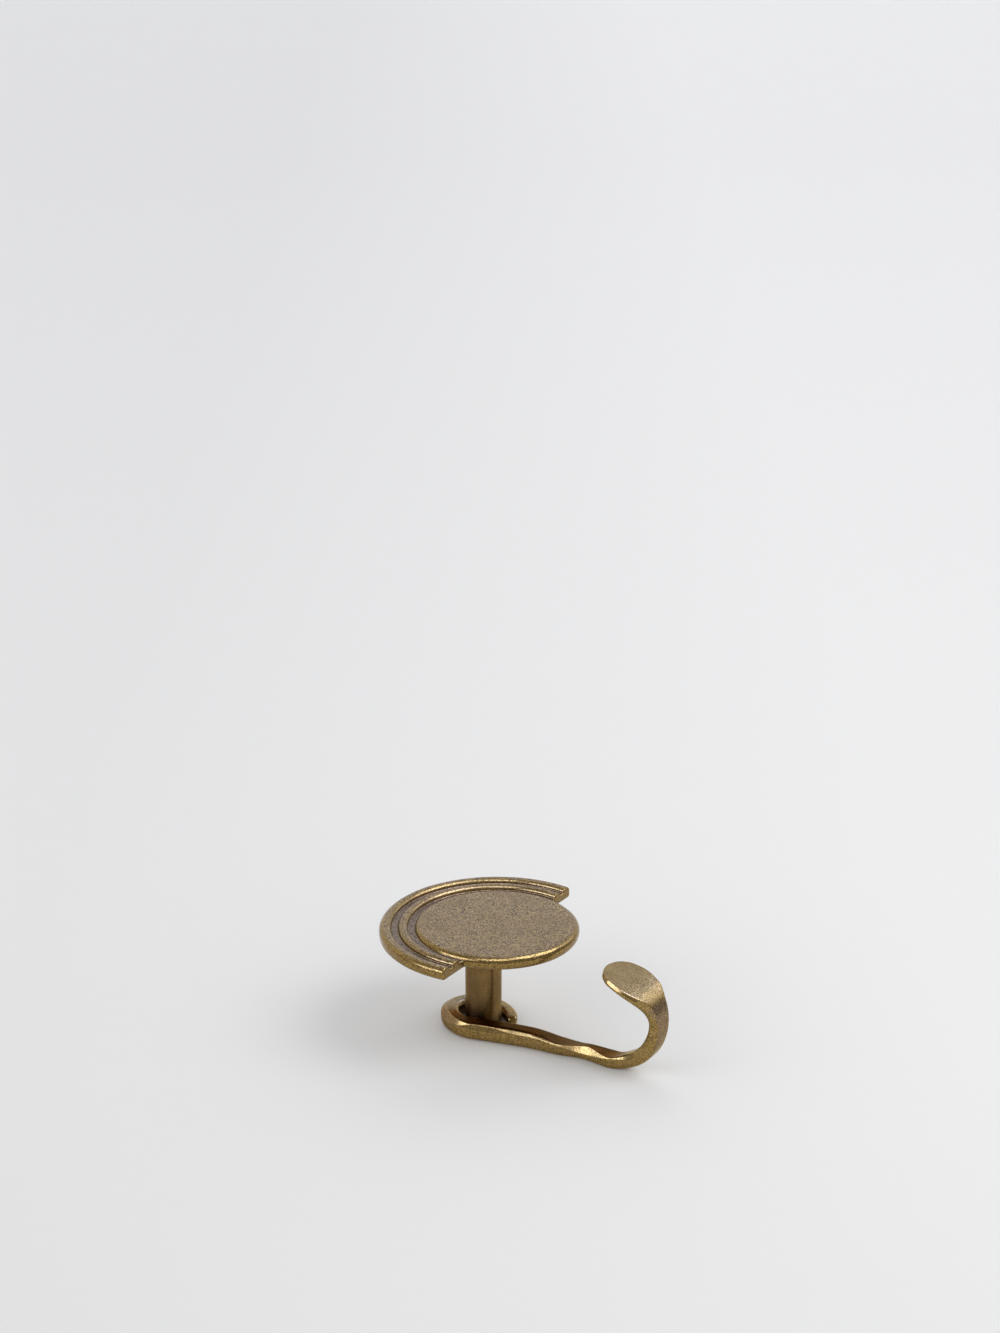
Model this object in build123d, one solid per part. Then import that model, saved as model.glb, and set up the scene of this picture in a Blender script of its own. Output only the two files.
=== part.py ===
from build123d import *
import os

# A wall hook in aged brass, in millimetres. A cast plate faces the room. A turned post holds it
# off the wall. A forged hook hangs by an open eye, loose round the post, between plate and wall.
# Frame: the origin is the centre of the post's foot, on the wall. +Z runs along the post, out of
# the wall. +X runs from the post towards the bend of the hook, down the wall. +Y completes it.
os.makedirs("parts", exist_ok=True)

# Post: round bar, faced at both ends, drilled in its foot for a threaded wall stud
post_diameter = 10.0
post_length = 28.0
foot_chamfer = 0.4
stud_hole_diameter = 5.0        # tapping drill of a 6 mm metric thread
stud_hole_depth = 14.0
stud_hole_chamfer = 0.5

# Face plate: a disc, with two arches round the side away from the bend, their ends cut straight
plate_thickness = 3.4
disc_radius = 22.35
disc_drop = 4.4                 # from the post's axis to the centre of the disc
arch_end_drop = 8.1             # from the post's axis to the straight ends of the arches
groove_width = 1.8
groove_depth = 1.2
inner_bead_width = 2.65
outer_bead_width = 3.35
disc_round = 1.3                # round of the disc's front edge
bead_round = 0.95               # rounds of the arches' front edges
outer_round = 1.3               # round of the outer arch's outside edge
back_round = 0.85               # round of the back edges, all round

# Hook: one tapered bar. Its line is the side that lies on the bench, and the outside of the bend.
eye_radius = 8.3                # plan radius of the eye's line
eye_shift = (-0.6, -0.1)        # the loose eye lies a little off the post's axis
eye_tip_angle = 22.0            # where the eye starts, from +X
eye_wrap = 262.0                # how far it goes round the post
run_length = 12.6               # straight stretch after the eye
sway_radius = 117.5             # slow curve that brings the shank round to +X
foot_bend_radius = 16.0
foot_bend_angle = 89.0
top_bend_radius = 10.3
top_bend_angle = 64.5
paddle_radius = 44.0
paddle_angle = 16.7

# Sections of the bar, width by thickness
tip_width = 3.3
tip_thickness = 2.5
bar_width = 5.4                 # at the shank
bar_thickness = 5.1
dent_width = 5.9                # where the hammer has flattened the shank
dent_thickness = 3.8
crown_width = 4.8               # between the two dents
crown_thickness = 4.2
bend_width = 5.1
bend_thickness = 4.1
paddle_width = 15.0
paddle_thickness = 1.9
soft_corner = 0.8               # corner radius of a section, as a share of its smaller half side
firm_corner = 0.6               # the same, where the bar is flattened

# One row for each place: its position along the bar, its width, thickness and corner share. The
# whole number names the stretch (0 eye, 1 run, 2 sway, 3 foot bend, 4 top bend, 5 paddle) and the
# rest is the way along it.
bar_places = [
    (0.00, 0.55 * tip_width, 0.55 * tip_thickness, soft_corner),
    (0.02, 0.85 * tip_width, 0.85 * tip_thickness, soft_corner),
    (0.08, tip_width, tip_thickness, soft_corner),
    (0.50, 0.78 * bar_width, 0.88 * bar_thickness, soft_corner),
    (0.80, 0.93 * bar_width, bar_thickness, soft_corner),
    (1.00, bar_width, bar_thickness, firm_corner),
    (1.72, bar_width, bar_thickness, firm_corner),
    (2.12, bar_width, 0.97 * bar_thickness, firm_corner),
    (2.45, dent_width, dent_thickness, firm_corner),
    (2.73, crown_width, crown_thickness, soft_corner),
    (2.98, dent_width, dent_thickness, firm_corner),
    (3.25, bend_width, bend_thickness, soft_corner),
    (3.70, bend_width, bend_thickness, soft_corner),
    (4.10, 0.40 * paddle_width, 0.88 * bend_thickness, soft_corner),
    (4.55, 0.58 * paddle_width, 1.75 * paddle_thickness, soft_corner),
    (5.00, 0.90 * paddle_width, 1.20 * paddle_thickness, soft_corner),
    (5.35, paddle_width, paddle_thickness, soft_corner),
    (5.65, 0.91 * paddle_width, 0.95 * paddle_thickness, soft_corner),
    (5.88, 0.64 * paddle_width, 0.85 * paddle_thickness, soft_corner),
    (5.97, 0.36 * paddle_width, 0.75 * paddle_thickness, soft_corner),
    (6.00, 0.16 * paddle_width, 0.60 * paddle_thickness, soft_corner),
]
sections_per_stretch = [18, 4, 10, 10, 8, 10]


# A corner of a polyline by its nearest point, for a round of its own
def corner(outline, x, y):
    return min(outline.vertices(), key=lambda v: (v.X - x) ** 2 + (v.Y - y) ** 2)


# Half section turned about Z: an outline of (radius, height) points, with rounds at some corners
def turned(points, rounds):
    face = make_face(Polyline(*points, close=True))
    for x, y, radius in rounds:
        face = fillet(corner(face, x, y), radius)
    return revolve(Plane.XZ * face, Axis.Z)


def make_post():
    post = Cylinder(post_diameter / 2, post_length, align=(Align.CENTER, Align.CENTER, Align.MIN))
    foot = post.edges().group_by(Axis.Z)[0]
    post = chamfer(foot, foot_chamfer)
    hole = Cylinder(stud_hole_diameter / 2, stud_hole_depth, align=(Align.CENTER, Align.CENTER, Align.MIN))
    mouth = Cone(stud_hole_diameter / 2 + stud_hole_chamfer, stud_hole_diameter / 2, stud_hole_chamfer,
                 align=(Align.CENTER, Align.CENTER, Align.MIN))
    return post - hole - mouth


def make_face_plate():
    back = post_length
    front = back + plate_thickness
    floor = front - groove_depth
    root = disc_radius - disc_round - back_round      # the arches are cast into the disc from here
    inner_foot = disc_radius + groove_width
    inner_side = inner_foot + inner_bead_width
    outer_foot = inner_side + groove_width
    outer_side = outer_foot + outer_bead_width
    disc = turned(
        [(0, back), (disc_radius, back), (disc_radius, front), (0, front)],
        [(disc_radius, back, back_round), (disc_radius, front, disc_round)])
    arches = turned(
        [(root, back), (outer_side, back), (outer_side, front), (outer_foot, front), (outer_foot, floor),
         (inner_side, floor), (inner_side, front), (inner_foot, front), (inner_foot, floor), (root, floor)],
        [(outer_side, back, back_round), (outer_side, front, outer_round), (outer_foot, front, bead_round),
         (inner_side, front, bead_round), (inner_foot, front, bead_round)])
    below = Pos(arch_end_drop - disc_drop, 0, back) * Box(
        2 * outer_side, 2.2 * outer_side, 2.2 * plate_thickness, align=(Align.MIN, Align.CENTER, Align.CENTER))
    return Pos(disc_drop, 0, 0) * (disc + (arches - below))


# Smooth value between the rows of a table: a cubic whose slopes never overshoot the rows
def between(rows, column, place):
    low = max(i for i in range(len(rows) - 1) if rows[i][0] <= place)
    rise = [(b[column] - a[column]) / (b[0] - a[0]) for a, b in zip(rows, rows[1:])]

    def slope(i):
        if i in (0, len(rows) - 1) or rise[i - 1] * rise[i] <= 0:
            return 0.0
        return 2 * rise[i - 1] * rise[i] / (rise[i - 1] + rise[i])

    a, b = rows[low], rows[low + 1]
    span = b[0] - a[0]
    t = (place - a[0]) / span
    return ((2 * t ** 3 - 3 * t ** 2 + 1) * a[column] + (t ** 3 - 2 * t ** 2 + t) * span * slope(low)
            + (3 * t ** 2 - 2 * t ** 3) * b[column] + (t ** 3 - t ** 2) * span * slope(low + 1))


# The bar's line: the eye, the run and the sway lie flat, and the bends rise in one upright plane
def bar_line():
    eye = CenterArc(eye_shift, eye_radius, eye_tip_angle, eye_wrap)
    run = Line(eye @ 1, eye @ 1 + (eye % 1) * run_length)
    heading = eye_tip_angle + eye_wrap - 270
    sway = JernArc(run @ 1, run % 1, sway_radius, -heading)
    upright = Plane(origin=sway @ 1, x_dir=(1, 0, 0), z_dir=(0, -1, 0))
    foot_bend = JernArc((0, 0), (1, 0), foot_bend_radius, foot_bend_angle)
    top_bend = JernArc(foot_bend @ 1, foot_bend % 1, top_bend_radius, top_bend_angle)
    paddle = JernArc(top_bend @ 1, top_bend % 1, paddle_radius, paddle_angle)
    return [eye, run, sway, upright * foot_bend, upright * top_bend, upright * paddle]


# Section of the bar at a place, standing on the line: a rounded oblong across the line's direction
def bar_section(line, place):
    stretch = min(int(place), len(line) - 1)
    edge = line[stretch]
    way = place - stretch
    along = edge % way
    across = Vector(-along.Y, along.X, 0) if stretch < 3 else Vector(0, 1, 0)
    plane = Plane(origin=edge @ way, x_dir=across, z_dir=along)
    width = between(bar_places, 1, place)
    thickness = between(bar_places, 2, place)
    radius = between(bar_places, 3, place) * min(width, thickness) / 2
    return plane * Pos(0, thickness / 2, 0) * RectangleRounded(width, thickness, radius)


def make_hook():
    line = bar_line()
    places = [0.0, 0.02]
    for stretch, count in enumerate(sections_per_stretch):
        places += [stretch + (i + 1) / count for i in range(count)]
    places[-1:] = [5.95, 5.985, 6.0]
    return loft([bar_section(line, place) for place in places])


parts = {"post": make_post(), "face_plate": make_face_plate(), "hook": make_hook()}
for name, solid in parts.items():
    export_step(solid, f"parts/{name}.step")
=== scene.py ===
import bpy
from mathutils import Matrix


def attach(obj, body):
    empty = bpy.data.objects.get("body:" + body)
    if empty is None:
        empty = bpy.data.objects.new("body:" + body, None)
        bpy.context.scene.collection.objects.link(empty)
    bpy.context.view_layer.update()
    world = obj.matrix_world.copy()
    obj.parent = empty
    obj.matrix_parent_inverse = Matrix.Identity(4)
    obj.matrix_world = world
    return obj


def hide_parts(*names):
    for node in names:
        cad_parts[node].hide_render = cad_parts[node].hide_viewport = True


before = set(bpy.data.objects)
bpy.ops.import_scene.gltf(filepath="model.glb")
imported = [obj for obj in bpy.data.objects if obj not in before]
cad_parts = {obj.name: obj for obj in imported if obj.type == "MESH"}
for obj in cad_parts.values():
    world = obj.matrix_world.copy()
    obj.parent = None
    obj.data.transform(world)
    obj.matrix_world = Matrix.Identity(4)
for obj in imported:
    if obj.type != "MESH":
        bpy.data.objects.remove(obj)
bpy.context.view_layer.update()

import math

import bmesh
import bpy
import numpy as np

# An aged brass wall hook: a cast face plate, a turned post and a forged hook that hangs loose on it.
# Sizes in the dictionaries are in millimetres and degrees, unless a note says metres, in the same frame
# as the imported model.
mm = 0.001
perMetre = 1000  # millimetres in a metre: a pattern's scale is how many of it lie side by side in one
mixShare, mixFirst, mixSecond, mixedColour = 0, 6, 7, 2  # sockets of a Mix node that mixes colours
scene = bpy.context.scene
scene.view_settings.view_transform = "Standard"


def toLinear(hexColour):  # sRGB hex to a linear colour with alpha
    parts = [int(hexColour[i:i + 2], 16) / 255 for i in (1, 3, 5)]
    return [p / 12.92 if p <= 0.04045 else ((p + 0.055) / 1.055) ** 2.4 for p in parts] + [1.0]


def addNode(tree, kind, values=None, links=None, **settings):  # one node, its settings, values and inputs
    node = tree.nodes.new(kind)
    for name, value in settings.items():
        setattr(node, name, value)
    for socket, value in (values or {}).items():
        node.inputs[socket].default_value = value
    for socket, source in (links or {}).items():
        tree.links.new(source, node.inputs[socket])
    return node


def newMaterial(name):
    material = bpy.data.materials.new(name)
    material.use_nodes = True
    material.node_tree.nodes.clear()
    return material, material.node_tree


# Lumps from -1 to 1: seeded random heights at the corners of cubes of one size, blended smoothly in
# between. Three large primes scatter the corners over the list of heights.
def lumps(points, size, seed):
    heights = np.random.default_rng(seed).random(4096)
    cell = np.floor(points / size).astype(np.int64)
    way = points / size - cell
    way = way * way * (3 - 2 * way)
    total = np.zeros(len(points))
    for corner in np.ndindex(2, 2, 2):
        near = cell + np.array(corner)
        key = (near[:, 0] * 73856093 ^ near[:, 1] * 19349663 ^ near[:, 2] * 83492791) % len(heights)
        total += np.prod(np.where(np.array(corner) == 1, way, 1 - way), axis=1) * heights[key]
    return 2 * total - 1


# Smooth step: 3 t squared less 2 t cubed, where t goes from 0 to 1 as the value goes from low to high
def ease(value, low, high):
    t = np.clip((value - low) / (high - low), 0, 1)
    return t * t * (3 - 2 * t)


# Distance walked along a line of points, up to each of them
def walkedAlong(line):
    return np.insert(np.cumsum(np.hypot(*np.diff(line, axis=0).T)), 0, 0)


# Quads between neighbouring rows and columns of a grid of points, the columns closed in a ring if asked
def gridFaces(rows, columns, first=0, ring=False):
    index = first + np.arange(rows * columns).reshape(rows, columns)
    if ring:
        index = np.hstack([index, index[:, :1]])
    corners = [index[:-1, :-1], index[:-1, 1:], index[1:, 1:], index[1:, :-1]]
    return np.stack(corners, -1).reshape(-1, 4)


# A mesh object from points in millimetres and faces, merged where it meets itself, faces outward
def makePiece(name, points, faces, material, body, node):
    mesh = bpy.data.meshes.new(name)
    mesh.from_pydata((points * mm).tolist(), [], faces)
    work = bmesh.new()
    work.from_mesh(mesh)
    bmesh.ops.remove_doubles(work, verts=work.verts, dist=0.002 * mm)
    bmesh.ops.recalc_face_normals(work, faces=work.faces)
    work.to_mesh(mesh)
    work.free()
    mesh.shade_smooth()
    mesh.materials.append(material)
    piece = bpy.data.objects.new(name, mesh)
    scene.collection.objects.link(piece)
    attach(piece, body)
    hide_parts(node)
    return piece


def readPoints(piece):  # places and outward normals of a piece's vertices, in millimetres
    count = len(piece.data.vertices)
    places, normals = np.zeros(count * 3, np.float32), np.zeros(count * 3, np.float32)
    piece.data.vertices.foreach_get("co", places)
    piece.data.vertices.foreach_get("normal", normals)
    return places.reshape(-1, 3).astype(float) / mm, normals.reshape(-1, 3).astype(float)


def writePoints(piece, places, **attributes):  # new places, and one number per vertex for each name
    piece.data.vertices.foreach_set("co", (places * mm).astype(np.float32).ravel())
    for name, values in attributes.items():
        layer = piece.data.attributes.new(name, "FLOAT", "POINT")
        layer.data.foreach_set("value", np.clip(values, 0, 1).astype(np.float32))
    piece.data.update()


# Aged brass: warm brown-gold metal, cloudy where it has tarnished unevenly. Thick tarnish in the hollows
# and in small pits is matt and brown, rubbed edges are golden, and a greyer dusk lies over it in clouds.
# The same colours also carry painted light: the gold also paints highlights and a warmer tone on the sides,
# the tarnish and the dark brown also paint shade and dark reflections, and the grey paints a sheen on some
# tops.
# Fine specks and a grain break the highlights into small sparkles. The specks are drawn coarse enough to
# show, larger than the real ones. The piece's attributes for wear, hollows, dusk and grain say where.
# Noise keeps near one half, so each pattern spreads only this middle part of it:
spread = {"cloud": (0.35, 0.65), "patch": (0.46, 0.62), "speck": (0.38, 0.62), "grain": (0.3, 0.7)}
pitMiddle = 2.0      # how much a pit counts in its middle: over 1, so that its inner half is full
thickTarnish = 0.6   # how much hollow and painted shade a place has before its tarnish is thick, and starts to go dark
hollowRough = 0.15   # how much rougher a hollow is


def agedBrass(name, finish):
    material, tree = newMaterial(name)
    place = addNode(tree, "ShaderNodeTexCoord").outputs["Object"]
    wearAndHighlight, hollowness, duskiness, graininess = [
        addNode(tree, "ShaderNodeAttribute", attribute_name=attribute).outputs["Fac"]
        for attribute in ("wear", "hollow", "dusk", "grainy")]
    cloud, speck, grain = [
        addNode(tree, "ShaderNodeTexNoise",
                {"Scale": perMetre / finish[size], "Detail": detail, "Roughness": roughness},
                {"Vector": place}).outputs["Fac"]
        for size, detail, roughness in (
            ("cloudSize", 4.0, 0.5), ("speckSize", 2.0, 0.5), ("grainSize", 3.0, 0.6))]

    # Casting pits gather in patches, and count as hollows
    spots = addNode(tree, "ShaderNodeTexVoronoi", {"Scale": perMetre / finish["pitSpacing"]},
                    {"Vector": place})
    spot = addNode(tree, "ShaderNodeMapRange",
                   {"From Max": finish["pitSize"] / finish["pitSpacing"], "To Min": pitMiddle, "To Max": 0.0},
                   {"Value": spots.outputs["Distance"]})
    patch = addNode(tree, "ShaderNodeMapRange",
                    {"From Min": spread["patch"][0], "From Max": spread["patch"][1],
                     "To Max": finish["pitted"]}, {"Value": cloud})
    pit = addNode(tree, "ShaderNodeMath", links={0: spot.outputs[0], 1: patch.outputs[0]},
                  operation="MULTIPLY").outputs[0]
    hollowness = addNode(tree, "ShaderNodeMath", links={0: hollowness, 1: pit},
                         operation="MAXIMUM").outputs[0]

    # Colour: cloudy metal, tarnish and painted shade over it, gold where that is rubbed off and as painted
    # highlight and sheen, then dusk and painted sheen in grey, and last the specks
    cloudy = addNode(tree, "ShaderNodeMapRange",
                     {"From Min": spread["cloud"][0], "From Max": spread["cloud"][1]}, {"Value": cloud})
    body = addNode(tree, "ShaderNodeMix",
                   {mixFirst: toLinear(finish["dull"]), mixSecond: toLinear(finish["metal"])},
                   {mixShare: cloudy.outputs[0]}, data_type="RGBA")
    darkness = addNode(tree, "ShaderNodeMapRange", {"From Min": thickTarnish, "From Max": 1.0},
                       {"Value": hollowness})
    depths = addNode(tree, "ShaderNodeMix",
                     {mixFirst: toLinear(finish["tarnishAndShade"]), mixSecond: toLinear(finish["deep"])},
                     {mixShare: darkness.outputs[0]}, data_type="RGBA")
    covered = addNode(tree, "ShaderNodeMapRange", {"From Max": thickTarnish}, {"Value": hollowness})
    darkened = addNode(tree, "ShaderNodeMix",
                       links={mixShare: covered.outputs[0], mixFirst: body.outputs[mixedColour],
                              mixSecond: depths.outputs[mixedColour]}, data_type="RGBA")
    rubbedAndHighlit = addNode(tree, "ShaderNodeMix", {mixSecond: toLinear(finish["rubbedAndHighlit"])},
                     {mixShare: wearAndHighlight, mixFirst: darkened.outputs[mixedColour]}, data_type="RGBA")
    dusky = addNode(tree, "ShaderNodeMix", {mixSecond: toLinear(finish["dusk"])},
                    {mixShare: duskiness, mixFirst: rubbedAndHighlit.outputs[mixedColour]}, data_type="RGBA")
    speckle = addNode(tree, "ShaderNodeMapRange",
                      {"From Min": spread["speck"][0], "From Max": spread["speck"][1],
                       "To Min": finish["speckle"], "To Max": -finish["speckle"]}, {"Value": speck})
    speckShare = addNode(tree, "ShaderNodeMath", {2: 1.0}, {0: speckle.outputs[0], 1: graininess},
                         operation="MULTIPLY_ADD")
    speckled = addNode(tree, "ShaderNodeVectorMath",
                       links={0: dusky.outputs[mixedColour], 3: speckShare.outputs[0]}, operation="SCALE")

    # Surface: rougher from grain to grain and in the hollows, raised by the grain and sunk by the pits
    grainRough = addNode(tree, "ShaderNodeMapRange",
                         {"From Min": spread["grain"][0], "From Max": spread["grain"][1],
                          "To Min": finish["smoothest"], "To Max": finish["roughest"]}, {"Value": grain})
    rough = addNode(tree, "ShaderNodeMath", {1: hollowRough}, {0: hollowness, 2: grainRough.outputs[0]},
                    operation="MULTIPLY_ADD")
    raised = addNode(tree, "ShaderNodeMath", links={0: grain, 1: graininess}, operation="MULTIPLY")
    relief = addNode(tree, "ShaderNodeMath", links={0: raised.outputs[0], 1: pit}, operation="SUBTRACT")
    bump = addNode(tree, "ShaderNodeBump",
                   {"Strength": finish["grainStrength"], "Distance": finish["grainDepth"] * mm},
                   {"Height": relief.outputs[0]})
    shader = addNode(tree, "ShaderNodeBsdfPrincipled",
                     {"Metallic": 1.0, "Specular Tint": toLinear(finish["grazing"]),
                      "Anisotropic": finish["drawn"]},
                     {"Base Color": speckled.outputs[0], "Roughness": rough.outputs[0],
                      "Normal": bump.outputs[0]})
    if finish["drawn"]:  # the lathe's fine rings spread reflections along the axis
        axis = addNode(tree, "ShaderNodeCombineXYZ", {"Z": 1.0})
        tree.links.new(axis.outputs[0], shader.inputs["Tangent"])
    addNode(tree, "ShaderNodeOutputMaterial", links={"Surface": shader.outputs[0]})
    return material


castBrass = agedBrass("sandCastAgedBrass", {  # cast in sand, whose grains of about 0.4 millimetres show
    "metal": "#998464", "dull": "#8B775B", "tarnishAndShade": "#76685F", "deep": "#3A2B1F",
    "rubbedAndHighlit": "#8E7442", "dusk": "#857B6C", "grazing": "#FFFFFF",
    "pitSpacing": 1.0, "pitSize": 0.42, "pitted": 0.9,
    "cloudSize": 7.0, "speckSize": 0.3, "speckle": 0.7, "grainSize": 0.36,
    "smoothest": 0.15, "roughest": 0.26, "grainStrength": 1.0, "grainDepth": 0.025, "drawn": 0.0})
turnedBrass = agedBrass("turnedAgedBrass", {  # turned smooth, with the satin of the tool's fine rings
    "metal": "#8C7046", "dull": "#785E3A", "tarnishAndShade": "#4A3A28", "deep": "#261B10",
    "rubbedAndHighlit": "#C6A05A", "dusk": "#5E5140", "grazing": "#F0E6D2",
    "pitSpacing": 1.6, "pitSize": 0.25, "pitted": 0.4,
    "cloudSize": 5.0, "speckSize": 0.4, "speckle": 0.3, "grainSize": 0.4,
    "smoothest": 0.2, "roughest": 0.28, "grainStrength": 0.6, "grainDepth": 0.012, "drawn": 0.9})
forgedBrass = agedBrass("forgedAgedBrass", {  # hammered, with red-brown scale left in its flats; its red-brown and grey also paint shade and sheen
    "metal": "#A4906E", "dull": "#968260", "tarnishAndShade": "#73441C", "deep": "#301F10",
    "rubbedAndHighlit": "#9A7F4A", "dusk": "#8B8274", "grazing": "#F2E6CC",
    "pitSpacing": 1.1, "pitSize": 0.26, "pitted": 0.6,
    "cloudSize": 4.0, "speckSize": 0.34, "speckle": 0.5, "grainSize": 0.4,
    "smoothest": 0.13, "roughest": 0.24, "grainStrength": 1.0, "grainDepth": 0.042, "drawn": 0.0})
print("stage: finishes made")


plate = {
    "back": 28.0, "thickness": 3.4, "discRadius": 22.35, "discDrop": 4.4, "archEndDrop": 8.1,
    "grooveWidth": 1.8, "grooveDepth": 1.2, "innerBead": 2.65, "outerBead": 3.35,
    "discRound": 1.3,        # with the back's round, how far into the disc the arches are cast
    "beadRound": 0.95, "outerRound": 1.55, "backRound": 0.85, "floorRound": 0.22,
    "crown": 0.2,            # how much lower the sides of a bead are than its middle
    "shoulder": 1.8,         # how far in from its edge the disc starts to fall
    "outerWall": 1.6,        # where the line over the beads ends on the outer side, above the back
    "endRound": 0.5,         # wear on the edges of the straight ends
    "endSteps": 7, "archSteps": 260, "bendSideSteps": 171,  # points round that wear, the arches, the rest
    "castWave": 0.045, "waveSizes": (3.2, 1.1),  # depth of the uneven skin, and width of its swells
    "fineWave": 0.4,         # the smaller swells' share of that depth
    "backWave": 0.3,         # and the share that the flat of the back has, so that it meets the post
    "edgeGoldAndSideSheen": 0.9, "rimPaintedHighlight": 0.3, "cutPaintedHighlight": 0.3,  # gold on slopes, partly rubbed and partly painted sheen; painted highlights on the disc's rim and the cut's edge
    "endDarkening": 0.8, "grooveTarnish": 0.45, "unevenTarnish": 0.2, "wallTarnish": 0.2,
}


# Line through corners, each rounded by an arc that touches both its sides, as evenly spaced points. The
# arc's middle lies where the corner is halved, at the radius over the sine of half the corner's angle.
def roundedLine(corners, rounds, count):
    corners = np.array(corners, float)
    pieces = [corners[:1]]
    for before, here, after, radius in zip(corners, corners[1:], corners[2:], rounds):
        a, b = before - here, after - here
        a, b = a / np.linalg.norm(a), b / np.linalg.norm(b)
        half = math.acos(np.clip(a @ b, -1, 1)) / 2
        middle = here + (a + b) / np.linalg.norm(a + b) * radius / math.sin(half)
        first, last = here + a * radius / math.tan(half), here + b * radius / math.tan(half)
        start = math.atan2(*(first - middle)[::-1])
        turn = (math.atan2(*(last - middle)[::-1]) - start + math.pi) % (2 * math.pi) - math.pi
        angle = start + turn * np.linspace(0, 1, 24)
        pieces.append(middle + radius * np.stack([np.cos(angle), np.sin(angle)], -1))
    line = np.vstack(pieces + [corners[-1:]])
    length = walkedAlong(line)
    even = np.linspace(0, length[-1], count)
    return np.stack([np.interp(even, length, line[:, k]) for k in (0, 1)], -1)


# Front edge of the disc in radius and height: a quarter ellipse, as wide as the shoulder and half as
# deep as the plate is thick
def shoulderLine(p, sweep):
    front, deep = p["back"] + p["thickness"], p["thickness"] / 2
    radius = p["discRadius"] - p["shoulder"] * (1 - np.sin(sweep))
    return np.stack([radius, front - deep * (1 - np.cos(sweep))], -1)


# Half sections of the plate in radius and height: the disc's top down to the grooves' floor, the disc's
# edge from there to the back, the two beads and the outer side round to the back, and the back itself.
# The counts say how many points each stretch gets.
def plateSections(p):
    back, front = p["back"], p["back"] + p["thickness"]
    floor, disc, deep = front - p["grooveDepth"], p["discRadius"], p["thickness"] / 2
    innerFoot = disc + p["grooveWidth"]
    innerSide = innerFoot + p["innerBead"]
    outerFoot = innerSide + p["grooveWidth"]
    outerSide = outerFoot + p["outerBead"]
    inner, bead, low, wall = disc - p["backRound"], p["beadRound"], p["floorRound"], back + p["outerWall"]
    toFloor = math.acos(1 - p["grooveDepth"] / deep)
    flat = np.linspace([0, front], [disc - p["shoulder"], front], 44)
    top = np.vstack([flat[:-1], shoulderLine(p, np.linspace(0, toFloor, 26))])
    rest = np.linspace(0, math.pi / 2, 22)[1:]
    lowerEdge = np.stack([inner + p["backRound"] * np.cos(rest), back + deep * (1 - np.sin(rest))], -1)
    edge = np.vstack([shoulderLine(p, np.linspace(toFloor, math.pi / 2, 7)), lowerEdge])
    over = roundedLine(
        [(top[-1, 0], floor), (innerFoot, floor), (innerFoot, front), (innerSide, front), (innerSide, floor),
         (outerFoot, floor), (outerFoot, front), (outerSide, front), (outerSide, wall)],
        [low, bead, bead, low, low, bead, p["outerRound"]], 112)
    for foot, side in ((innerFoot, innerSide), (outerFoot, outerSide)):  # beads are highest in the middle
        across = (over[:, 0] - (foot + side) / 2) / ((side - foot) / 2)
        over[:, 1] -= p["crown"] * across ** 2 * (np.abs(across) <= 1) * ease(over[:, 1], floor, front)
    outside = np.linspace([outerSide, wall], [outerSide, back + p["backRound"]], 4)
    under = roundedLine([(outerSide, back + p["backRound"]), (outerSide, back), (inner, back)],
                        [p["backRound"] - 0.001], 30)
    below = np.linspace([inner, back], [0, back], 14)
    return top, edge, np.vstack([over, outside[1:], under[1:]]), below


# The plate is its half sections carried round the disc's axis. At each radius the straight cut lies at
# the arc cosine of its distance over that radius, counted from +X. On the far side of it run the beads,
# and past it, towards the bend, the disc has its own edge alone. Near the cut the outline shrinks along
# a quarter round, which wears the edges of the ends.
def facePlateSurface(p):
    top, edge, outline, below = plateSections(p)
    root = p["discRadius"] - p["backRound"] - p["discRound"]

    def toCut(radius):  # half angle from +X to the straight cut
        return np.arccos((p["archEndDrop"] - p["discDrop"]) / np.maximum(radius, root))

    def carry(section, angle):
        return np.stack([p["discDrop"] + section[..., 0] * np.cos(angle), section[..., 0] * np.sin(angle),
                         section[..., 1] + 0 * angle], -1)

    wear, middle, turns = p["endRound"], p["archSteps"], p["endSteps"]
    steps = wear * (1 - np.cos(np.linspace(0, math.pi / 2, turns + 1)[:turns]))
    fromCut = np.concatenate([steps, np.full(middle, wear), steps[::-1]])
    shrink = wear - np.sqrt(np.maximum(wear ** 2 - (wear - fromCut) ** 2, 0))
    share = np.concatenate([np.zeros(turns), np.linspace(0, 1, middle), np.ones(turns)])
    lean = 1 - 2 * share
    direction = np.gradient(outline, axis=0)
    direction /= np.linalg.norm(direction, axis=1)[:, None]
    walked = walkedAlong(outline)
    hold = ease(walked, 0, 0.8) * ease(walked[-1] - walked, 0, 0.8)  # no wear where the disc carries on
    inward = np.stack([direction[:, 1], -direction[:, 0]], -1) * hold[:, None]
    section = outline[:, None, :] + inward[:, None, :] * shrink[None, :, None]
    half = toCut(section[..., 0])
    angle = half + 2 * (math.pi - half) * share + fromCut * lean / section[..., 0]
    joined = (angle[0] - half[0]) / (2 * (math.pi - half[0]))
    across = np.linspace(-1, 1, p["bendSideSteps"])

    def beyond(line):  # past the cut, on the bend's side
        return carry(line[:, None, :], toCut(line[:, :1]) * across)

    def within(line):  # on the arches' side
        half = toCut(line[:, :1])
        return carry(line[:, None, :], half + 2 * (math.pi - half) * joined)

    grids = [beyond(top), beyond(edge), beyond(below), within(top), carry(section, angle), within(below)]
    starts = np.cumsum([0] + [g.shape[0] * g.shape[1] for g in grids])
    faces = [f for g, start in zip(grids, starts) for f in gridFaces(g.shape[0], g.shape[1], start).tolist()]
    arch = starts[4] + np.arange(len(outline) * section.shape[1]).reshape(len(outline), -1)
    rim = starts[1] + np.arange(len(edge) * len(across)).reshape(len(edge), -1)
    ends = [list(arch[:, 0]) + list(rim[::-1, -1][1:-1]), list(arch[::-1, -1]) + list(rim[1:-1, 0])]
    return np.vstack([g.reshape(-1, 3) for g in grids]), faces + [[int(i) for i in end] for end in ends]


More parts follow.
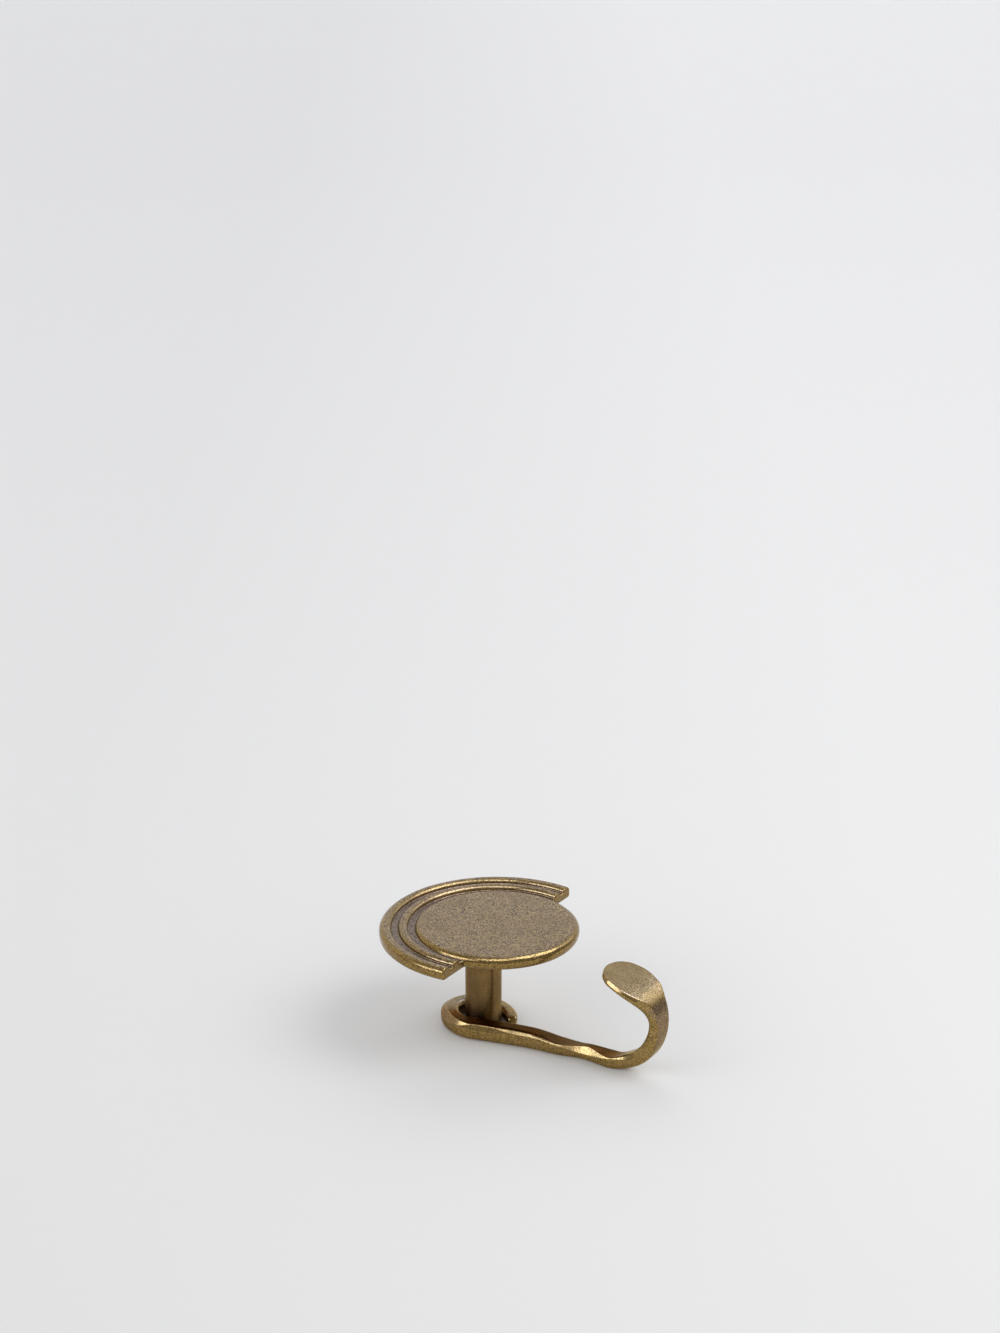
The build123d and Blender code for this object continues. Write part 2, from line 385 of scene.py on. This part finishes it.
points, faces = facePlateSurface(plate)
platePiece = makePiece("face_plate_cast", points, faces, castBrass, "plate", "face_plate")
corners = np.zeros(len(platePiece.data.polygons), np.int32)
platePiece.data.polygons.foreach_get("loop_total", corners)
platePiece.data.polygons.foreach_set("use_smooth", corners < 5)  # the straight ends are flat
places, normals = readPoints(platePiece)
radius = np.hypot(places[:, 0] - plate["discDrop"], places[:, 1])
front = plate["back"] + plate["thickness"]

# The casting's uneven skin sinks from the true shape, and least on the flat of the back
swells, ripples = [(1 + lumps(places, size, seed)) / 2 for size, seed in zip(plate["waveSizes"], (1, 2))]
wave = plate["castWave"] * swells + plate["fineWave"] * plate["castWave"] * ripples
onBack = (np.abs(normals[:, 2]) > 0.97) & (places[:, 2] < plate["back"] + 0.2)
places -= normals * (wave * np.where(onBack, plate["backWave"], 1))[:, None]

# Tarnish lies in the grooves, and the straight ends are darker. The slopes are rubbed gold, and with it every
# side is painted more golden than the flat top, a painted sheen. The gold along the disc's rim and the ends'
# edges is a painted highlight.
archSide = places[:, 0] < plate["archEndDrop"] + 0.05
depth = (front - places[:, 2]) / plate["grooveDepth"]
atEnd = ease(places[:, 0], plate["archEndDrop"] - 0.5, plate["archEndDrop"] - 0.3)
atEnd = atEnd * (radius > plate["discRadius"] + 0.3)
endSide = atEnd * ease(normals[:, 0], 0.1, 0.4)
# painted highlight: gold on the edges of the straight ends
cutHighlightEdge = endSide * ease(0.98 - normals[:, 0], 0, 0.1)
grooved = archSide * (radius > plate["discRadius"] - 0.12) * (radius < plate["discRadius"] + 6.55)
grooved = grooved * (1 - endSide)
rub = 0.5 + 0.5 * lumps(places, 2.2, 8)
wall = grooved * ease(1 - np.abs(normals[:, 2]), 0.15, 0.8)
# painted highlight: a band of gold along the round of the disc's rim
rimHighlightBand = np.exp(-((radius - plate["discRadius"] + 0.75) / 0.45) ** 2) * (depth < 0.8)
# gold on every face that doesn't face up: rubbed wear, and a painted sheen that makes the sides warmer than
# the top
slopeGoldAndSheen = plate["edgeGoldAndSideSheen"] * ease(0.985 - normals[:, 2], 0, 0.12) * (1 - 0.35 * grooved)
# the flat faces of the straight ends are made darker
endFace = plate["endDarkening"] * atEnd * ease(normals[:, 0], 0.75, 0.9)
lining = plate["grooveTarnish"] + plate["unevenTarnish"] * rub + plate["wallTarnish"] * wall
writePoints(platePiece, places, grainy=0.8 + 0.2 * ease(normals[:, 2], 0.93, 0.995),
            wear=slopeGoldAndSheen + plate["rimPaintedHighlight"] * rimHighlightBand * rub + plate["cutPaintedHighlight"] * cutHighlightEdge,
            hollow=endFace + grooved * ease(depth, 0.5, 0.95) * lining)
print("stage: face plate cast", len(platePiece.data.vertices), "vertices")


post = {
    "radius": 5.0, "length": 28.0, "footChamfer": 0.4,
    "holeRadius": 2.5, "holeDepth": 14.0, "holeChamfer": 0.5,
    "threadPitch": 1.0, "threadDepth": 0.45,       # 6 mm metric stud thread
    "threadSlope": 2.7,    # how many times its depth the sides would rise in one pitch
    "threadRows": 160, "threadStart": 6, "threadEnd": 14,  # rows in the hole, and those where it fades
    "sideRows": 60, "aroundSteps": 96,
    "holeFloor": 0.2,      # chamfer at the bottom of the hole
    "seat": 0.3,           # how far the post runs up into the plate
    "skin": 0.02,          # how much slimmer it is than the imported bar, so that it lies inside it
    "footDarkReflection": 0.49, "plateShadeAndHoleTarnish": 0.5, "cloudTarnish": 0.2, "gold": 0.12, "dusk": 0.15, "grainy": 0.25,
}


# The post is an outline of radius and height turned about Z. Inside the hole the radius also rises and
# falls along a helix, one turn for each pitch, which cuts the stud thread.
def postSurface(p):
    hole, deep, top = p["holeRadius"], p["holeDepth"], p["length"] + p["seat"]
    side, floor, rows = p["radius"] - p["skin"], p["holeFloor"], p["threadRows"]
    outside = np.vstack([[(0.0, top)], np.linspace([side, top], [side, p["footChamfer"]], p["sideRows"]),
                         [(p["radius"] - p["footChamfer"], 0.0)], [(hole + p["holeChamfer"], 0.0)]])
    threaded = np.stack([np.full(rows, hole), np.linspace(p["holeChamfer"], deep - floor, rows)], -1)
    outline = np.vstack([outside, threaded, [(hole - floor, deep), (0.0, deep)]])
    angle = np.linspace(0, 2 * math.pi, p["aroundSteps"], endpoint=False)
    radius, height = [np.repeat(outline[:, k:k + 1], len(angle), axis=1) for k in (0, 1)]
    turn = (height / p["threadPitch"] - angle / (2 * math.pi)) % 1
    cutIn = np.clip(p["threadSlope"] / 2 - np.abs(turn - 0.5) * p["threadSlope"], 0, 1) * p["threadDepth"]
    start, end = p["threadStart"], p["threadEnd"]
    inHole = np.zeros(len(outline))
    inHole[len(outside):len(outside) + rows] = np.concatenate(
        [np.linspace(0, 1, start), np.ones(rows - start - end), np.linspace(1, 0, end)])
    radius = radius + cutIn * inHole[:, None]
    points = np.stack([radius * np.cos(angle), radius * np.sin(angle), height], -1)
    return points.reshape(-1, 3), gridFaces(len(outline), len(angle), ring=True).tolist()


points, faces = postSurface(post)
postPiece = makePiece("post_turned", points, faces, turnedBrass, "plate", "post")
places = readPoints(postPiece)[0]

# Towards the foot it is darkened as a painted reflection of the shadow and the eye below it, and under the
# plate as painted shade. Tarnish lies in the hole and in clouds over all of it.
atFoot = ease(8 - places[:, 2], 0, 7)
underPlateShade = ease(places[:, 2], post["length"] - 4, post["length"])
inside = np.hypot(places[:, 0], places[:, 1]) < post["holeRadius"] + 0.5
cloudy = 0.5 + 0.5 * lumps(places, 6.0, 21)
writePoints(postPiece, places, wear=post["gold"] * (1 - cloudy), dusk=post["dusk"] * cloudy,
            grainy=np.full(len(places), post["grainy"]),
            hollow=post["footDarkReflection"] * atFoot + post["plateShadeAndHoleTarnish"] * underPlateShade
            + post["plateShadeAndHoleTarnish"] * inside + post["cloudTarnish"] * cloudy)
postPiece.data.set_sharp_from_angle(angle=math.radians(40))
print("stage: post turned", len(postPiece.data.vertices), "vertices")


# Widths and thicknesses of the bar's sections, and corner radii as a share of the smaller half side
tip, bar, dent, crown, bend, blade = (3.3, 2.5), (5.4, 5.1), (5.9, 3.8), (4.8, 4.2), (5.1, 4.1), (15.0, 1.9)
soft, firm, square = 0.8, 0.6, 0.55
hook = {
    "eyeRadius": 8.3, "eyeShift": (-0.6, -0.1), "eyeTipAngle": 22.0, "eyeWrap": 262.0, "runLength": 12.6,
    "swayRadius": 117.5, "footBend": (16.0, 89.0), "topBend": (10.3, 64.5), "paddle": (44.0, 16.7),
    "eyeSwell": 0.55, "eyeRise": 0.1,   # the back of the eye is a little fuller outside and on top
    "tipSwell": 0.5,                    # and its tip lies closer to the post
    "forgeWave": 0.07, "waveSizes": (4.2, 1.6),  # depth of the uneven skin, and width of its swells
    "fineWave": 0.35,                   # the smaller swells' share of that depth
    "rows": 560, "tipRows": 6, "endRows": 22,  # along the whole bar, and more at its two ends
    "quarterSteps": 22,                 # points in a quarter of a section
    # gold shares, with a painted highlight at the paddle's root, and how much gold the painted shade takes
    # away
    "gold": 0.75, "unevenGold": 0.25, "rootPaintedHighlight": 0.7, "goldLostToShade": 0.6,
    # grey: painted sheen on the eye's top and the paddle, painted shade outside the bend and on the eye's
    # side
    "eyeTopPaintedSheen": 0.85, "paddlePaintedSheen": 0.1, "bendShadeGrey": 0.45, "eyeSideShadeGrey": 0.3,
    # dark: painted shade inside the eye, on the shank's tops, outside the bend and on the eye's side; tarnish
    # in the hammered flats
    "insidePaintedShade": 0.95, "flatScaleAndTopShade": 0.7, "unevenTarnish": 0.3, "bendShadeDark": 0.5,
    "eyeSideShadeDark": 0.6,
    "edgeSmooth": 0.3, "paddleSmooth": 0.6,  # how much less grainy these are
    "lengths": [38.0, 12.6, 28.7, 24.9, 11.6, 12.8],  # about how long each stretch is, to space the rows
    # Places along the bar (whole number: 0 eye, 1 run, 2 sway, 3 foot bend, 4 top bend, 5 paddle), width,
    # thickness and corner share of the section there
    "sections": np.array([
        (0.00, 0.55 * tip[0], 0.55 * tip[1], soft), (0.02, 0.85 * tip[0], 0.85 * tip[1], soft),
        (0.08, *tip, soft), (0.50, 0.78 * bar[0], 0.88 * bar[1], soft), (0.80, 0.93 * bar[0], bar[1], soft),
        (1.00, *bar, firm), (1.72, *bar, firm), (2.12, bar[0], 0.97 * bar[1], firm), (2.45, *dent, firm),
        (2.73, *crown, soft), (2.98, *dent, firm), (3.25, *bend, soft), (3.70, *bend, square),
        (4.10, 0.40 * blade[0], 0.88 * bend[1], firm), (4.55, 0.58 * blade[0], 1.75 * blade[1], soft),
        (5.00, 0.90 * blade[0], 1.20 * blade[1], soft), (5.35, *blade, soft),
        (5.65, 0.91 * blade[0], 0.95 * blade[1], soft), (5.88, 0.64 * blade[0], 0.85 * blade[1], soft),
        (5.97, 0.36 * blade[0], 0.75 * blade[1], soft), (6.00, 0.16 * blade[0], 0.60 * blade[1], soft)]),
    # Hammer marks: how far along the bar, half length, degrees that the mark faces down from the top
    # towards the near side (minus: the far side), and depth
    "hammerMarks": [
        (66.0, 9.5, -6, 0.8), (79.5, 8.5, -4, 0.8),                            # two hollows on the shank
        (71.8, 9.0, 56, 0.52), (50.0, 10.0, 58, 0.10), (31.5, 8.0, 56, 0.40),  # bevels on its near edge
        (71.5, 8.5, -62, 0.7), (18.0, 11.0, 40, 0.3), (42.0, 9.0, 72, 0.25), (93.0, 12.0, 62, 0.25),
        (112.0, 7.0, 124, 0.3), (122.5, 6.0, 122, 0.2)],                       # near edge of the paddle
}


# Smooth value between the rows of a table: a cubic whose slope at a row is the harmonic mean of the
# rises on both sides, or level where they turn, so that it never overshoots the rows
def between(rows, column, place):
    x, y = rows[:, 0], rows[:, column]
    rise = np.diff(y) / np.diff(x)
    both = rise[:-1] * rise[1:]
    mean = np.where(both > 0, 2 * both / np.where(both > 0, rise[:-1] + rise[1:], 1), 0)
    slopeGoldAndSheen = np.concatenate([[0], mean, [0]])
    low = np.clip(np.searchsorted(x, place, side="right") - 1, 0, len(x) - 2)
    span = x[low + 1] - x[low]
    t = (place - x[low]) / span
    return ((2 * t ** 3 - 3 * t ** 2 + 1) * y[low] + (t ** 3 - 2 * t ** 2 + t) * span * slopeGoldAndSheen[low]
            + (3 * t ** 2 - 2 * t ** 3) * y[low + 1] + (t ** 3 - t ** 2) * span * slopeGoldAndSheen[low + 1])


# The bar's line: an arc for the eye, a straight run and a slow sway lie flat, then three arcs rise in one
# upright plane. It gives each place's point, the direction across the bar and that of its thickness.
def barLine(h, place):
    stretch = np.clip(place.astype(int), 0, 5)
    way = place - stretch
    tipTurn, wrap = math.radians(h["eyeTipAngle"]), math.radians(h["eyeWrap"])
    eyeTurn = tipTurn + wrap
    heading = eyeTurn + math.pi / 2 - 2 * math.pi
    eyeEnd = np.array(h["eyeShift"]) + h["eyeRadius"] * np.array([math.cos(eyeTurn), math.sin(eyeTurn)])
    runEnd = eyeEnd + h["runLength"] * np.array([math.cos(heading), math.sin(heading)])
    sway = h["swayRadius"]
    point, turn, pitch = np.zeros((len(place), 3)), np.zeros(len(place)), np.zeros(len(place))
    on = stretch == 0
    theta = tipTurn + wrap * way[on]
    point[on, 0] = h["eyeShift"][0] + h["eyeRadius"] * np.cos(theta)
    point[on, 1] = h["eyeShift"][1] + h["eyeRadius"] * np.sin(theta)
    turn[on] = theta + math.pi / 2
    on = stretch == 1
    point[on, :2] = eyeEnd + (runEnd - eyeEnd) * way[on, None]
    turn[on] = heading
    on = stretch == 2
    turn[on] = heading * (1 - way[on])
    point[on, 0] = runEnd[0] + sway * (math.sin(heading) - np.sin(turn[on]))
    point[on, 1] = runEnd[1] + sway * (np.cos(turn[on]) - math.cos(heading))
    start = np.array([runEnd[0] + sway * math.sin(heading), 0.0])
    level = runEnd[1] + sway * (1 - math.cos(heading))
    began = 0.0
    for number, (radius, degrees) in zip((3, 4, 5), (h["footBend"], h["topBend"], h["paddle"])):
        on = stretch == number
        pitch[on] = began + math.radians(degrees) * way[on]
        ended = began + math.radians(degrees)
        point[on, 0] = start[0] + radius * (np.sin(pitch[on]) - math.sin(began))
        point[on, 1] = level
        point[on, 2] = start[1] + radius * (math.cos(began) - np.cos(pitch[on]))
        start = start + radius * np.array(
            [math.sin(ended) - math.sin(began), math.cos(began) - math.cos(ended)])
        began = ended
    across = np.stack([-np.sin(turn), np.cos(turn), 0 * turn], -1)
    rising = np.stack([-np.sin(pitch), 0 * pitch, np.cos(pitch)], -1)
    return point, across, rising


# A rounded oblong as four mirrored quarters: half of one side, the corner's arc, half of the next side.
# It gives the points across and through the bar, for each width, thickness and corner radius.
def roundedOblong(width, thickness, radius, perQuarter):
    flat = 0.22  # share of a quarter's points on each half side
    t = (np.arange(perQuarter) + 0.5) / perQuarter
    bow = np.clip((t - flat) / (1 - 2 * flat), 0, 1) * math.pi / 2
    upSide, alongTop = np.clip(t / flat, 0, 1), np.clip((t - 1 + flat) / flat, 0, 1)
    radius = radius[:, None]
    x = (width[:, None] / 2 - radius) * (1 - alongTop) + radius * np.cos(bow)
    y = (thickness[:, None] / 2 - radius) * upSide + radius * np.sin(bow)
    quarters = [(x, y), (-x[:, ::-1], y[:, ::-1]), (-x, -y), (x[:, ::-1], -y[:, ::-1])]
    return np.concatenate([np.stack(quarter, -1) for quarter in quarters], 1)


# The hook is a rounded oblong carried along the bar's line, closed by a fan of triangles at each end. A
# hammer mark presses the skin down to a trough across the bar, whose depth along it is the mark's own
# times (1 less u squared) squared, u going from -1 to 1. Each point's place along the bar, and how much
# it is marked on top, come with it.
def hookSurface(h):
    lengths, everyStretch = h["lengths"], np.arange(7.0)
    lengthSoFar = np.insert(np.cumsum(lengths), 0, 0)
    place = np.interp(np.linspace(0, sum(lengths), h["rows"]), lengthSoFar, everyStretch)
    nearTip = np.linspace(0, 0.03, h["tipRows"])  # extra rows where the bar's two ends round off
    nearEnd = 6 - 0.15 * np.linspace(0, 1, h["endRows"]) ** 1.6
    place = np.unique(np.concatenate([place, nearTip, nearEnd]))
    point, across, rising = barLine(h, place)
    width, thickness, corner = [between(h["sections"], column, place) for column in (1, 2, 3)]
    small = np.minimum(width, thickness) / 2
    walked = np.interp(place, everyStretch, lengthSoFar)
    oblong = roundedOblong(width, thickness, corner * small, h["quarterSteps"])
    marked = np.zeros(oblong.shape[:2])
    for middle, half, down, depth in h["hammerMarks"]:
        facing = np.array([-math.sin(math.radians(down)), math.cos(math.radians(down))])
        height = oblong @ facing
        trough = depth * np.clip(1 - ((walked - middle) / half) ** 2, 0, 1)[:, None] ** 2
        over = height - height.max(1, keepdims=True) + trough
        cutAway = (over + np.sqrt(over ** 2 + (0.15 * trough) ** 2)) / 2  # with a soft edge
        oblong = oblong - facing * cutAway[..., None]
        marked = np.maximum(marked, ease(cutAway, 0.0, 0.25) * (abs(down) < 20))
    aside, up = oblong[..., 0], oblong[..., 1] + thickness[:, None] / 2
    eyeBack = (ease(place, 0.32, 0.5) * ease(0.92 - place, 0, 0.25))[:, None]
    eyeTip = (ease(place, 0.02, 0.12) * ease(0.42 - place, 0, 0.2))[:, None]
    aside = (aside - h["eyeSwell"] * eyeBack * ease(-aside, 0, 2)
             + h["tipSwell"] * eyeTip * ease(aside, 0, 1.5))
    up = up * (1 + h["eyeRise"] * eyeBack)
    points = point[:, None, :] + across[:, None, :] * aside[..., None] + rising[:, None, :] * up[..., None]
    count = points.shape[1]
    total, ring = len(place) * count, np.arange(count)
    last, after = total - count, np.roll(ring, -1)
    ends = np.stack([points[0].mean(0), points[-1].mean(0)])
    faces = gridFaces(len(place), count, ring=True).tolist()
    faces += np.stack([ring, after, np.full(count, total)], -1).tolist()
    faces += np.stack([last + after, last + ring, np.full(count, total + 1)], -1).tolist()
    along = np.append(np.repeat(place, count), [0, 0])
    return np.vstack([points.reshape(-1, 3), ends]), faces, along, np.append(marked.ravel(), [0, 0])


points, faces, along, marked = hookSurface(hook)
hookPiece = makePiece("hook_forged", points, faces, forgedBrass, "hook", "hook")
places, normals = readPoints(hookPiece)
if len(places) != len(points):
    raise ValueError("the hook's points were merged")

# The forging's uneven skin sinks from the true shape, except at the eye's tip
swells, ripples = [(1 + lumps(places, size, seed)) / 2 for size, seed in zip(hook["waveSizes"], (11, 12))]
wave = hook["forgeWave"] * (swells + hook["fineWave"] * ripples)
places -= normals * (wave * ease(along, 0.0, 0.1))[:, None]

# Parts of the hook, each from 0 to 1, by the place along the bar and the way that the skin faces
rub = 0.5 + 0.5 * lumps(places, 2.0, 13)
# painted shade: dark on the eye's inner face, towards the post
facesPostShade = ease(7.6 - np.hypot(places[:, 0], places[:, 1]), 0, 2.2)
# painted sheen: grey on the top of the eye
eyeTopSheen = ease(along, 0.3, 0.45) * ease(0.85 - along, 0, 0.2) * ease(normals[:, 2], 0.5, 0.9)
# painted shade: greyer and darker, with less gold, on the outer side of the eye
eyeSideShade = ease(along, 0.4, 0.55) * ease(0.93 - along, 0, 0.12) * ease(0.85 - normals[:, 2], 0, 0.3)
shank = ease(along, 0.62, 0.95) * ease(3.35 - along, 0, 0.45)
# tarnish in the hammer marks, and painted shade darkening the shank's upward tops
flatsAndShadedTops = np.maximum(shank * ease(normals[:, 2], 0.8, 0.97), 0.9 * marked)
nearEdge = ease(0.35 - np.abs(normals[:, 2] - 0.5), 0, 0.2) * ease(-normals[:, 1], 0.2, 0.6)
# painted shade: a dark band on the outside of the bend, with less gold
outerBendShade = ease(along, 3.5, 3.85) * ease(4.66 - along, 0, 0.16) * ease(normals[:, 0], 0.35, 0.75)
paddleRootHighlight = ease(along, 4.4, 4.6) * ease(5.1 - along, 0, 0.25)
# painted sheen: a little grey on the paddle's top
paddleTopSheen = ease(along, 5.1, 5.5) * ease(normals[:, 2], 0.75, 0.9)

# Gold shows where the skin doesn't face up: rubbed wear, and a painted sheen that makes the sides warmer than
# the tops. The gold at the paddle's root is a painted highlight. Tarnish stays in the hammered flats. Painted
# shade darkens the eye's inner face, its side, the shank's tops and the outside of the bend, and grey paints
# a sheen on the eye's top and the paddle's top.
goldAndSideSheen = np.maximum(ease(0.9 - normals[:, 2], 0, 0.25), hook["rootPaintedHighlight"] * paddleRootHighlight)
goldAndSideSheen = goldAndSideSheen * (hook["gold"] + hook["unevenGold"] * rub)
goldAndSideSheen = goldAndSideSheen * (1 - hook["goldLostToShade"] * outerBendShade) * (1 - hook["goldLostToShade"] * eyeSideShade)
dusks = [hook["eyeTopPaintedSheen"] * eyeTopSheen, hook["paddlePaintedSheen"] * paddleTopSheen,
         hook["bendShadeGrey"] * outerBendShade, hook["eyeSideShadeGrey"] * eyeSideShade]
tarnishAndPaintedShade = [hook["insidePaintedShade"] * facesPostShade, hook["bendShadeDark"] * outerBendShade,
             flatsAndShadedTops * (hook["flatScaleAndTopShade"] + hook["unevenTarnish"] * rub),
             hook["eyeSideShadeDark"] * eyeSideShade]
writePoints(hookPiece, places, wear=goldAndSideSheen, dusk=np.max(dusks, axis=0), hollow=np.max(tarnishAndPaintedShade, axis=0),
            grainy=1 - hook["edgeSmooth"] * nearEdge - hook["paddleSmooth"] * paddleTopSheen)
print("stage: hook forged", len(hookPiece.data.vertices), "vertices")


stand = {
    "floorRadius": 3.5, "floorDrop": 2e-5,  # in metres
    "floorSteps": 96,                      # points round it
    # painted shade: the card's tone goes from darker on the left to lighter on the right
    "floorShadedLeft": "#DADADA", "floorLitRight": "#E5E5E5",
    "floorFade": 130.0,                    # how far to each side its tone goes on changing
    "rightward": (0.841, 0.542, 0.0), "onward": (-0.546, 0.838, 0.0),  # over the floor, from the viewer
    "farShade": 0.94, "nearShade": 0.95,   # how much painted shade darkens the card far off and towards the viewer
    "farReach": (0.1, 1.2), "nearReach": (-0.3, -0.03),  # where it does, in metres onward
    "key": (25.0, 50.0, 38.0, 0.86),       # azimuth from +X, elevation, width seen from the hook, power
    "fill": (245.0, 36.0, 44.0, 0.33),
    "back": (120.0, 44.0, 46.0, 0.36),
    "glowLow": 1.76, "glowHigh": 0.10,     # light that the room throws on the floor, low down and overhead
    "glowReach": (0.2, 0.95),              # heights between which it falls, as sines of the elevation
    "roomward": (-0.707, 0.707, 0.0),      # towards the far side of the room
    "roomReach": (0.05, 0.7),              # shares of that direction between which the room grows paler
    "behind": 0.84, "before": 0.36,        # how pale the room is in the metal, far from the viewer and near
    "daylight": "#C9D3FA",
    # soft windows of bluish daylight in the metal: azimuth, elevation, half width, soft edge, brightness
    "windows": [(40.0, 60.0, 16.0, 8.0, 6.8), (70.0, 33.0, 9.0, 8.0, 1.9), (-130.0, 30.0, 8.0, 8.0, 5.8),
                (-108.0, 36.0, 8.0, 8.0, 4.9), (-60.0, 71.0, 12.0, 8.0, 4.8)],
    "lens": 85.07, "sensor": 36.0,
    "cameraPlace": (0.42416, -0.64991, 0.39476), "cameraTurn": (69.5035, 0, 32.7975),  # metres, degrees
}


def softbox(name, azimuth, elevation, width, power):  # far and wide, so that it lights the floor evenly
    light = bpy.data.lights.new(name, "SUN")
    light.energy, light.angle = power, math.radians(width)
    lamp = bpy.data.objects.new(name, light)
    scene.collection.objects.link(lamp)
    lamp.rotation_euler = (math.radians(90 - elevation), 0, math.radians(azimuth + 90))
    lamp.visible_glossy = False  # the windows of the room are what the metal shows


# The floor is one round sheet, with painted shade: a little darker to the left, far off and near the viewer
angle = np.linspace(0, 2 * math.pi, stand["floorSteps"], endpoint=False)
reach = stand["floorRadius"]
rim = np.stack([reach * np.cos(angle), reach * np.sin(angle), 0 * angle - stand["floorDrop"]], -1)
floorMesh = bpy.data.meshes.new("paleFloor")
floorMesh.from_pydata(rim.tolist(), [], [list(range(len(angle)))])
floor = bpy.data.objects.new("paleFloor", floorMesh)
scene.collection.objects.link(floor)
paper, tree = newMaterial("mattCardPaintedShade")  # smooth matt card, pale, with its tone painted darker to the left, far off and near the viewer as painted shade
spot = addNode(tree, "ShaderNodeTexCoord").outputs["Object"]
across = addNode(tree, "ShaderNodeVectorMath", {1: stand["rightward"]}, {0: spot}, operation="DOT_PRODUCT")
fade = addNode(tree, "ShaderNodeMapRange",
               {"From Min": -stand["floorFade"] * mm, "From Max": stand["floorFade"] * mm},
               {"Value": across.outputs["Value"]})
floorPaintedLight = addNode(tree, "ShaderNodeMix",
               {mixFirst: toLinear(stand["floorShadedLeft"]), mixSecond: toLinear(stand["floorLitRight"])},
               {mixShare: fade.outputs[0]}, data_type="RGBA")
onward = addNode(tree, "ShaderNodeVectorMath", {1: stand["onward"]}, {0: spot}, operation="DOT_PRODUCT")
beyond = addNode(tree, "ShaderNodeMapRange",
                 {"From Min": stand["farReach"][0], "From Max": stand["farReach"][1], "To Min": 1.0,
                  "To Max": stand["farShade"]}, {"Value": onward.outputs["Value"]})
nearer = addNode(tree, "ShaderNodeMapRange",
                 {"From Min": stand["nearReach"][0], "From Max": stand["nearReach"][1],
                  "To Min": stand["nearShade"], "To Max": 1.0}, {"Value": onward.outputs["Value"]})
shade = addNode(tree, "ShaderNodeMath", links={0: beyond.outputs[0], 1: nearer.outputs[0]},
                operation="MULTIPLY")
shaded = addNode(tree, "ShaderNodeVectorMath", links={0: floorPaintedLight.outputs[mixedColour], 3: shade.outputs[0]},
                 operation="SCALE")
card = addNode(tree, "ShaderNodeBsdfPrincipled", {"Roughness": 0.9}, {"Base Color": shaded.outputs[0]})
addNode(tree, "ShaderNodeOutputMaterial", links={"Surface": card.outputs[0]})
floorMesh.materials.append(paper)

# The room: an even glow lights the floor, and the metal sees a pale side, a dark side and the windows
world = bpy.data.worlds.new("studio")
scene.world = world
world.use_nodes = True
tree = world.node_tree
tree.nodes.clear()
direction = addNode(tree, "ShaderNodeTexCoord").outputs["Generated"]
height = addNode(tree, "ShaderNodeSeparateXYZ", links={0: direction}).outputs[2]
glow = addNode(tree, "ShaderNodeMapRange",
               {"From Min": stand["glowReach"][0], "From Max": stand["glowReach"][1],
                "To Min": stand["glowLow"], "To Max": stand["glowHigh"]}, {"Value": height})
away = addNode(tree, "ShaderNodeVectorMath", {1: stand["roomward"]}, {0: direction}, operation="DOT_PRODUCT")
room = addNode(tree, "ShaderNodeMapRange",
               {"From Min": stand["roomReach"][0], "From Max": stand["roomReach"][1],
                "To Min": stand["before"], "To Max": stand["behind"]},
               {"Value": away.outputs["Value"]}, interpolation_type="SMOOTHSTEP").outputs[0]
windows = []
for azimuth, elevation, half, fading, brightness in stand["windows"]:
    a, e = math.radians(azimuth), math.radians(elevation)
    towards = (math.cos(e) * math.cos(a), math.cos(e) * math.sin(a), math.sin(e))
    apart = addNode(tree, "ShaderNodeVectorMath", {1: towards}, {0: direction}, operation="DOT_PRODUCT")
    window = addNode(tree, "ShaderNodeMapRange",
                     {"From Min": math.cos(math.radians(half + fading)),
                      "From Max": math.cos(math.radians(half)), "To Max": brightness},
                     {"Value": apart.outputs["Value"]}, interpolation_type="SMOOTHSTEP")
    windows.append(window.outputs[0])
shine = windows[0]
for window in windows[1:]:
    shine = addNode(tree, "ShaderNodeMath", links={0: shine, 1: window}, operation="ADD").outputs[0]
ray = addNode(tree, "ShaderNodeLightPath").outputs
mirrored = addNode(tree, "ShaderNodeMath", links={0: ray["Is Glossy Ray"], 1: ray["Is Transmission Ray"]},
                   operation="MAXIMUM")
direct = addNode(tree, "ShaderNodeMath", links={0: ray["Is Camera Ray"], 1: mirrored.outputs[0]},
                 operation="MAXIMUM")
strength = addNode(tree, "ShaderNodeMix", links={0: direct.outputs[0], 2: glow.outputs[0], 3: room})
sky = addNode(tree, "ShaderNodeBackground", {"Color": toLinear("#FFFFFF")}, {"Strength": strength.outputs[0]})
seen = addNode(tree, "ShaderNodeMath", links={0: shine, 1: direct.outputs[0]}, operation="MULTIPLY")
panes = addNode(tree, "ShaderNodeBackground", {"Color": toLinear(stand["daylight"])},
                {"Strength": seen.outputs[0]})
both = addNode(tree, "ShaderNodeAddShader", links={0: sky.outputs[0], 1: panes.outputs[0]})
addNode(tree, "ShaderNodeOutputWorld", links={"Surface": both.outputs[0]})

softbox("keySoftbox", *stand["key"])
softbox("fillSoftbox", *stand["fill"])
softbox("backSoftbox", *stand["back"])

camera = bpy.data.cameras.new("camera")
camera.lens, camera.sensor_width = stand["lens"], stand["sensor"]
viewer = bpy.data.objects.new("camera", camera)
scene.collection.objects.link(viewer)
viewer.location = stand["cameraPlace"]
viewer.rotation_euler = [math.radians(a) for a in stand["cameraTurn"]]
scene.camera = viewer
print("stage: floor, light and camera set")
